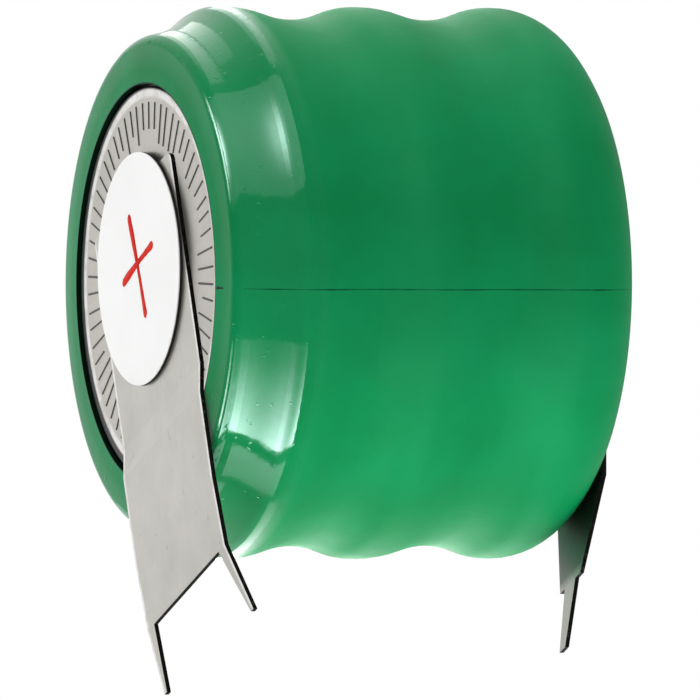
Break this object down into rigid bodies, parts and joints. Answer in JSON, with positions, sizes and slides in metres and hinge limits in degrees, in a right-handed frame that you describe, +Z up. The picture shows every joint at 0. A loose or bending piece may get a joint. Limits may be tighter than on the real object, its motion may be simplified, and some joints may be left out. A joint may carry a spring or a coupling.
{
  "type": "nickel-metal hydride button cell battery pack",
  "caption": "Stack of nickel-metal hydride button cells in a shrink sleeve, with flat solder tabs ending in pins for a circuit board.",
  "frame": {"origin": "on the plane of the solder pins' tips, below the middle of the whole part", "axes": "+X along the stack from the positive end to the negative end, +Z up, away from the pins, +Y across"},
  "size_m": [0.0204, 0.0256, 0.0311],
  "materials": {
    "sleeve": "glossy green shrink film",
    "can": "nickel-plated steel",
    "seal_ring": "moulded nylon",
    "lid": "nickel-plated steel",
    "link": "nickel strip",
    "tab": "dull nickel-plated strip",
    "disc": "white card"
  },
  "bodies": {
    "root": {"sleeve": "sleeve", "cell_1_can": "can", "cell_1_seal_ring": "seal_ring", "cell_1_lid": "lid", "cell_2_can": "can", "cell_2_seal_ring": "seal_ring", "cell_2_lid": "lid", "cell_3_can": "can", "cell_3_seal_ring": "seal_ring", "cell_3_lid": "lid", "link_1_2": "link", "link_2_3": "link", "positive_tab": "tab", "negative_tab": "tab", "insulating_disc": "disc"}
  },
  "joints": []
}
